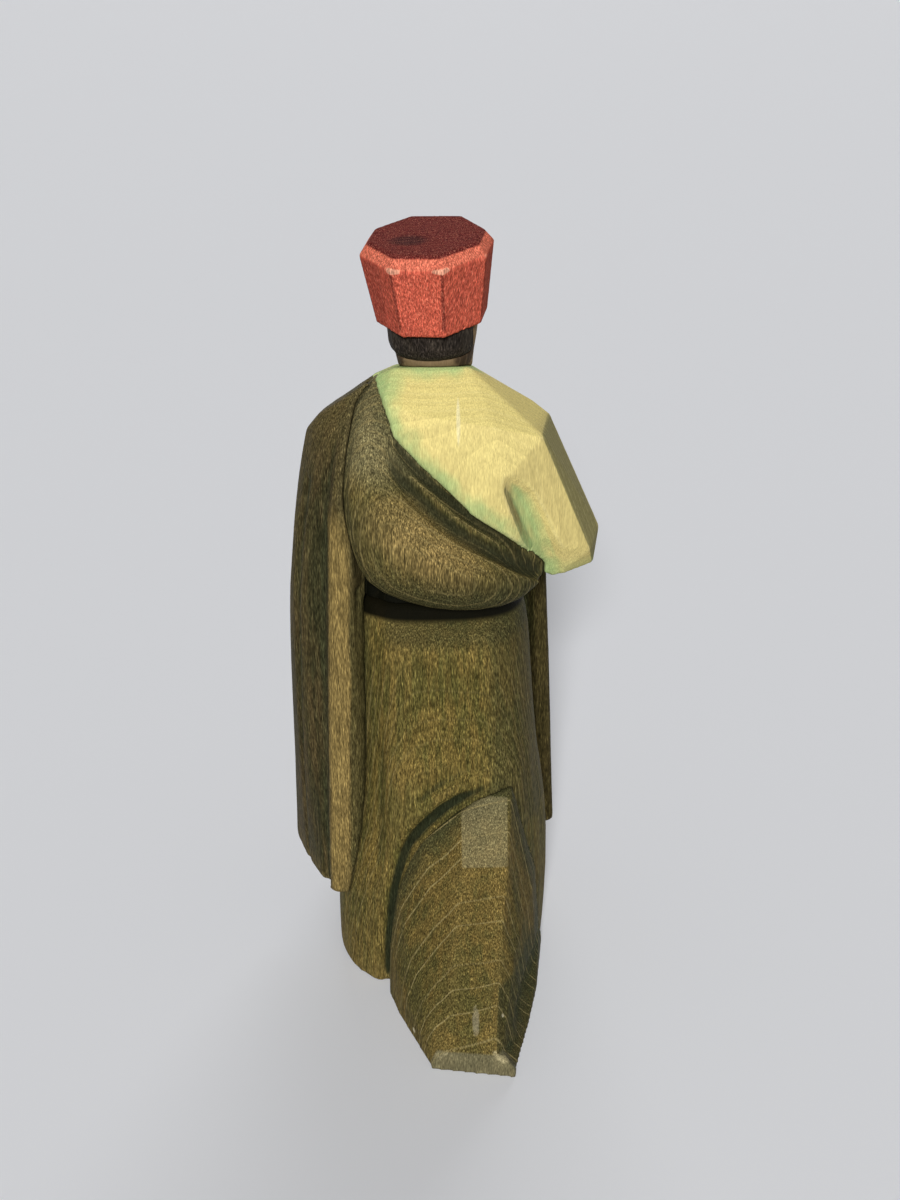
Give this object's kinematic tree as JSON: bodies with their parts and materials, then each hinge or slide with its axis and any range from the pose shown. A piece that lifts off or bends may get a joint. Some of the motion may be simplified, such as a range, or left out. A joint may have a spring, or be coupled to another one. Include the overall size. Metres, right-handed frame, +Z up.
{
  "type": "nativity king figure",
  "caption": "Carved and stained wooden king for a nativity scene, kneeling with a casket held out in front, in a flared cap, a draped mantle and a trailing robe.",
  "frame": {"origin": "on the flat base of the robe, under the middle of the neck", "axes": "+Z up, +Y the way the figure faces, +X to the figure's right"},
  "size_m": [0.0525, 0.0704, 0.1272],
  "materials": {
    "olive_stain": "satin stained wood",
    "yellow_stain": "satin stained wood",
    "red_stain": "satin stained wood",
    "black_stain": "satin stained wood",
    "skin_stain": "satin stained wood",
    "ochre_stain": "satin stained wood",
    "bare_wood": "raw wood"
  },
  "bodies": {
    "root": {"robe": "olive_stain", "train": "olive_stain", "mantle": "olive_stain", "cloak": "olive_stain", "mantle_fall": "olive_stain", "tunic": "yellow_stain", "right_sleeve": "yellow_stain", "left_sleeve": "yellow_stain", "head": "skin_stain", "right_hand": "skin_stain", "left_hand": "skin_stain", "hair": "black_stain", "cap": "red_stain", "gift_casket": "ochre_stain", "spine_dowel": "bare_wood", "waist_dowel": "bare_wood", "train_dowel_left": "bare_wood", "train_dowel_right": "bare_wood", "cloak_dowel_lower": "bare_wood", "cloak_dowel_upper": "bare_wood", "fall_dowel": "bare_wood", "right_arm_dowel": "bare_wood", "left_arm_dowel": "bare_wood", "neck_dowel": "bare_wood"}
  },
  "joints": []
}
